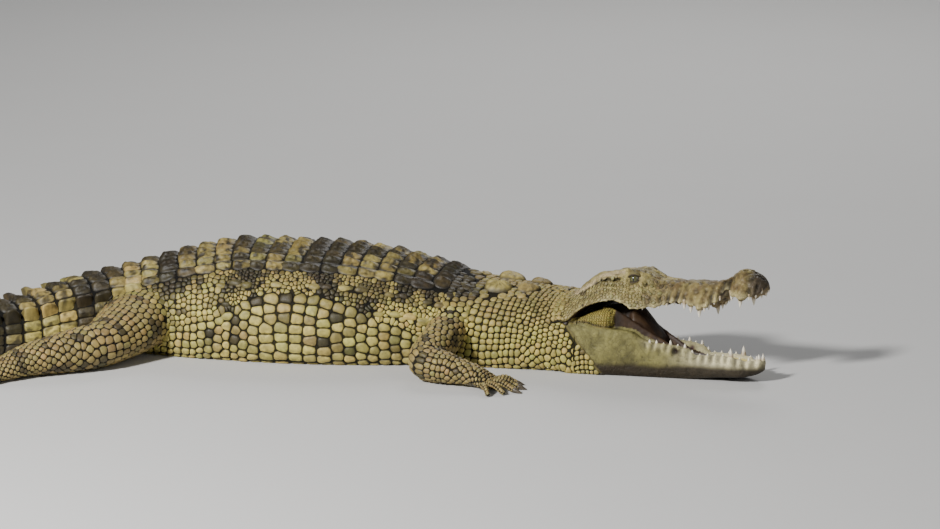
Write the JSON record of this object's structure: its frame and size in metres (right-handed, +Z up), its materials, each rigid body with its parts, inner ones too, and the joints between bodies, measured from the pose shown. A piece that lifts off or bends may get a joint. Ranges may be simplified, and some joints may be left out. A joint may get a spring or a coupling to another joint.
{
  "type": "nile crocodile model",
  "caption": "Life-size crocodile lying on its belly with its jaws wide open, its head and tail bowed to its right and one hind leg stretched back.",
  "frame": {"origin": "a point under the middle of the trunk, on the flat of the belly at floor level", "axes": "+Z up; +X along the trunk from tail to head; the animal's right side faces -Y"},
  "size_m": [3.5262, 1.3098, 0.3155],
  "materials": {
    "hide": "scaled hide, yellow-olive with dark bands",
    "face": "bare skin over bone, pale tan to cream",
    "mouth": "yellow scaled skin",
    "tongue": "moist brown-pink skin",
    "claw": "dark horn",
    "eye": "wet, green-brown"
  },
  "bodies": {
    "root": {"claw_forefoot_left_1": "claw", "claw_forefoot_left_2": "claw", "claw_forefoot_left_3": "claw", "claw_forefoot_right_1": "claw", "claw_forefoot_right_2": "claw", "claw_forefoot_right_3": "claw", "claw_hindfoot_left_1": "claw", "claw_hindfoot_left_2": "claw", "claw_hindfoot_left_3": "claw", "claw_hindfoot_right_1": "claw", "claw_hindfoot_right_2": "claw", "claw_hindfoot_right_3": "claw", "eye_left": "eye", "eye_right": "eye", "forefoot_left": "hide", "forefoot_right": "hide", "foreleg_left_lower": "hide", "foreleg_left_upper": "hide", "foreleg_right_lower": "hide", "foreleg_right_upper": "hide", "head": "face", "hindfoot_left": "hide", "hindfoot_right": "hide", "hindleg_left_shank": "hide", "hindleg_left_thigh": "hide", "hindleg_right_shank": "hide", "hindleg_right_thigh": "hide", "lower_jaw": "face", "mouth_corner_left": "mouth", "mouth_corner_right": "mouth", "mouth_lining": "tongue", "neck": "hide", "tail_base": "hide", "tail_middle": "hide", "tail_rear": "hide", "tail_tip": "hide", "tongue": "tongue", "trunk": "hide"}
  },
  "joints": []
}
